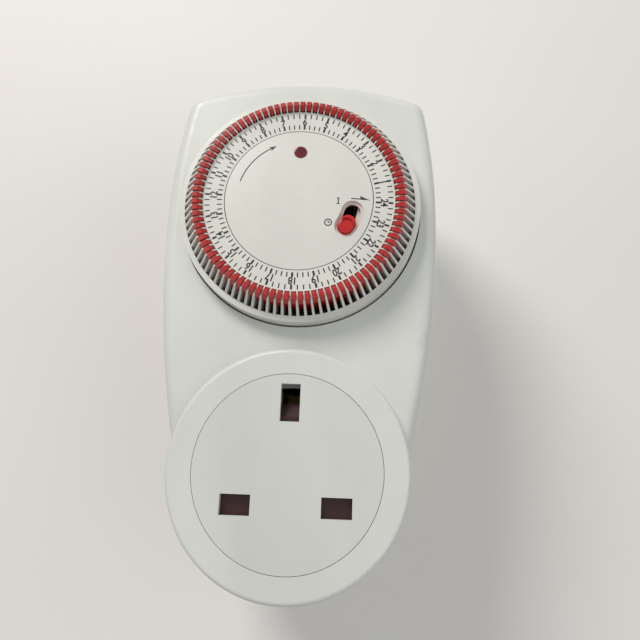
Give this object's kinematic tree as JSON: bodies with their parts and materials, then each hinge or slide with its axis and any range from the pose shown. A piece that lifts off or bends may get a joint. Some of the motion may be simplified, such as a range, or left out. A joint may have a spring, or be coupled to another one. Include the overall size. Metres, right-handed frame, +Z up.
{
  "type": "plug-in timer switch",
  "caption": "Plug-in mains timer switch with a turning dial of push-in tabs, a manual override slide, a shuttered three-pin socket and a three-pin plug.",
  "frame": {"origin": "on the plug's back face, on the centre line of the three plug pins and of the socket", "axes": "+Y into the wall along the pins, +Z up towards the dial, +X right seen from the front"},
  "size_m": [0.0682, 0.069, 0.1267],
  "materials": {
    "white_casing": "satin moulded",
    "white_dial": "satin moulded",
    "socket_white": "satin moulded",
    "red_tab": "gloss moulded",
    "red_knob": "gloss moulded",
    "red_lens": "translucent",
    "red_shutter": "satin moulded",
    "brass": "drawn",
    "spring_bronze": "rolled",
    "contact_silver": "turned",
    "zinc_steel": "plated",
    "spring_steel": "drawn",
    "sleeve_black": "satin moulded",
    "carrier_plastic": "satin moulded",
    "nylon": "natural",
    "ferrite": "ground",
    "bobbin_plastic": "moulded",
    "copper_wire": "enamelled",
    "lamp_glass": "clear",
    "resistor_body": "lacquered",
    "lead_blue": "extruded",
    "lead_brown": "extruded"
  },
  "bodies": {
    "casing": {"front_housing": "white_casing", "back_housing": "white_casing", "housing_screws": "zinc_steel", "earth_pin": "brass", "line_pin": "brass", "neutral_pin": "brass", "line_pin_sleeve": "sleeve_black", "neutral_pin_sleeve": "sleeve_black", "socket_insert": "socket_white", "shutter_spring": "spring_steel", "contact_carrier": "carrier_plastic", "earth_contact": "brass", "neutral_contact": "brass", "line_contact": "brass", "line_feed_strip": "brass", "fixed_terminal": "brass", "terminal_rivet": "contact_silver", "switched_line_strip": "brass", "switch_base": "carrier_plastic", "centre_disc": "white_dial", "neon_lens": "red_lens", "neon_lamp": "lamp_glass", "neon_resistor": "resistor_body", "stator_cup": "zinc_steel", "motor_plate": "zinc_steel", "coil_bobbin": "bobbin_plastic", "coil_winding": "copper_wire", "gear_plate": "nylon", "gear_arbors": "spring_steel", "motor_lead_line": "lead_brown", "motor_lead_neutral": "lead_blue"},
    "shutter": {"safety_shutter": "red_shutter"},
    "override": {"override_knob": "red_knob", "override_slide": "nylon"},
    "lever": {"trip_lever": "nylon"},
    "blade": {"switch_blade": "spring_bronze", "blade_rivet": "contact_silver"},
    "dial": {"dial_drum": "white_dial"},
    "tabs_01": {"tab_bank_01": "red_tab"},
    "tabs_02": {"tab_bank_02": "red_tab"},
    "tabs_03": {"tab_bank_03": "red_tab"},
    "tabs_04": {"tab_bank_04": "red_tab"},
    "tabs_05": {"tab_bank_05": "red_tab"},
    "tabs_06": {"tab_bank_06": "red_tab"},
    "tabs_07": {"tab_bank_07": "red_tab"},
    "tabs_08": {"tab_bank_08": "red_tab"},
    "tabs_09": {"tab_bank_09": "red_tab"},
    "tabs_10": {"tab_bank_10": "red_tab"},
    "tabs_11": {"tab_bank_11": "red_tab"},
    "tabs_12": {"tab_bank_12": "red_tab"},
    "rotor": {"rotor": "ferrite", "rotor_pinion": "nylon"},
    "wheel_1": {"train_wheel_1": "nylon"},
    "wheel_2": {"train_wheel_2": "nylon"},
    "wheel_3": {"train_wheel_3": "nylon"},
    "wheel_4": {"train_wheel_4": "nylon"},
    "wheel_5": {"train_wheel_5": "nylon"},
    "clutch": {"clutch_wheel": "nylon"},
    "output": {"output_pinion": "nylon", "clutch_spring": "spring_steel"}
  },
  "joints": [
    {"name": "shutter_slide", "type": "slide", "parent": "casing", "child": "shutter", "axis": [0, 0, -1], "range_m": [0, 0.005], "stiffness_N_per_m": 80, "deforming": ["shutter_spring"]},
    {"name": "override_turn", "type": "hinge", "parent": "casing", "child": "override", "pos_m": [0, -0.0434, 0.0626], "axis": [0, -1, 0], "range_deg": [0, 12.6]},
    {"name": "trip_lever_rock", "type": "hinge", "parent": "casing", "child": "lever", "pos_m": [0.02515, -0.02875, 0.044], "axis": [-1, 0, 0], "range_deg": [0, 2.4], "stiffness_Nm_per_rad": 0.12},
    {"name": "blade_flex", "type": "hinge", "parent": "casing", "child": "blade", "pos_m": [0.02515, -0.0249, 0.0413], "axis": [-1, 0, 0], "range_deg": [0, 2]},
    {"name": "dial_spin", "type": "hinge", "parent": "casing", "child": "dial", "pos_m": [0, -0.0434, 0.0626], "axis": [0, 1, 0], "continuous": true},
    {"name": "tabs_01_push", "type": "slide", "parent": "dial", "child": "tabs_01", "axis": [0, 1, 0], "range_m": [0, 0.0017]},
    {"name": "tabs_02_push", "type": "slide", "parent": "dial", "child": "tabs_02", "axis": [0, 1, 0], "range_m": [0, 0.0017]},
    {"name": "tabs_03_push", "type": "slide", "parent": "dial", "child": "tabs_03", "axis": [0, 1, 0], "range_m": [0, 0.0017]},
    {"name": "tabs_04_push", "type": "slide", "parent": "dial", "child": "tabs_04", "axis": [0, 1, 0], "range_m": [0, 0.0017]},
    {"name": "tabs_05_push", "type": "slide", "parent": "dial", "child": "tabs_05", "axis": [0, 1, 0], "range_m": [0, 0.0017]},
    {"name": "tabs_06_push", "type": "slide", "parent": "dial", "child": "tabs_06", "axis": [0, 1, 0], "range_m": [0, 0.0017]},
    {"name": "tabs_07_push", "type": "slide", "parent": "dial", "child": "tabs_07", "axis": [0, 1, 0], "range_m": [0, 0.0017]},
    {"name": "tabs_08_push", "type": "slide", "parent": "dial", "child": "tabs_08", "axis": [0, 1, 0], "range_m": [0, 0.0017]},
    {"name": "tabs_09_push", "type": "slide", "parent": "dial", "child": "tabs_09", "axis": [0, 1, 0], "range_m": [0, 0.0017]},
    {"name": "tabs_10_push", "type": "slide", "parent": "dial", "child": "tabs_10", "axis": [0, 1, 0], "range_m": [0, 0.0017]},
    {"name": "tabs_11_push", "type": "slide", "parent": "dial", "child": "tabs_11", "axis": [0, 1, 0], "range_m": [0, 0.0017]},
    {"name": "tabs_12_push", "type": "slide", "parent": "dial", "child": "tabs_12", "axis": [0, 1, 0], "range_m": [0, 0.0017]},
    {"name": "rotor_spin", "type": "hinge", "parent": "casing", "child": "rotor", "pos_m": [-0.009, -0.0039, 0.0716], "axis": [0, 1, 0], "continuous": true},
    {"name": "wheel_1_spin", "type": "hinge", "parent": "casing", "child": "wheel_1", "pos_m": [-0.01031, -0.0129, 0.06088], "axis": [0, 1, 0], "continuous": true},
    {"name": "wheel_2_spin", "type": "hinge", "parent": "casing", "child": "wheel_2", "pos_m": [-0.009, -0.0146, 0.0716], "axis": [0, 1, 0], "continuous": true},
    {"name": "wheel_3_spin", "type": "hinge", "parent": "casing", "child": "wheel_3", "pos_m": [-0.01031, -0.0163, 0.06088], "axis": [0, 1, 0], "continuous": true},
    {"name": "wheel_4_spin", "type": "hinge", "parent": "casing", "child": "wheel_4", "pos_m": [-0.009, -0.018, 0.0716], "axis": [0, 1, 0], "continuous": true},
    {"name": "wheel_5_spin", "type": "hinge", "parent": "casing", "child": "wheel_5", "pos_m": [-0.01031, -0.0197, 0.06088], "axis": [0, 1, 0], "continuous": true},
    {"name": "clutch_spin", "type": "hinge", "parent": "casing", "child": "clutch", "pos_m": [-0.01577, -0.0214, 0.05156], "axis": [0, 1, 0], "continuous": true},
    {"name": "output_spin", "type": "hinge", "parent": "casing", "child": "output", "pos_m": [-0.01577, -0.0369, 0.05156], "axis": [0, 1, 0], "continuous": true}
  ],
  "couplings": [
    {"joint": "blade_flex", "follows": "trip_lever_rock", "ratio": 0.80986},
    {"joint": "output_spin", "follows": "dial_spin", "ratio": 8},
    {"joint": "wheel_1_spin", "follows": "rotor_spin", "ratio": -0.125},
    {"joint": "wheel_2_spin", "follows": "rotor_spin", "ratio": 0.015625},
    {"joint": "wheel_3_spin", "follows": "rotor_spin", "ratio": -0.0025},
    {"joint": "wheel_4_spin", "follows": "rotor_spin", "ratio": 0.0004},
    {"joint": "wheel_5_spin", "follows": "rotor_spin", "ratio": -0.000066667},
    {"joint": "clutch_spin", "follows": "rotor_spin", "ratio": 0.000011111}
  ]
}
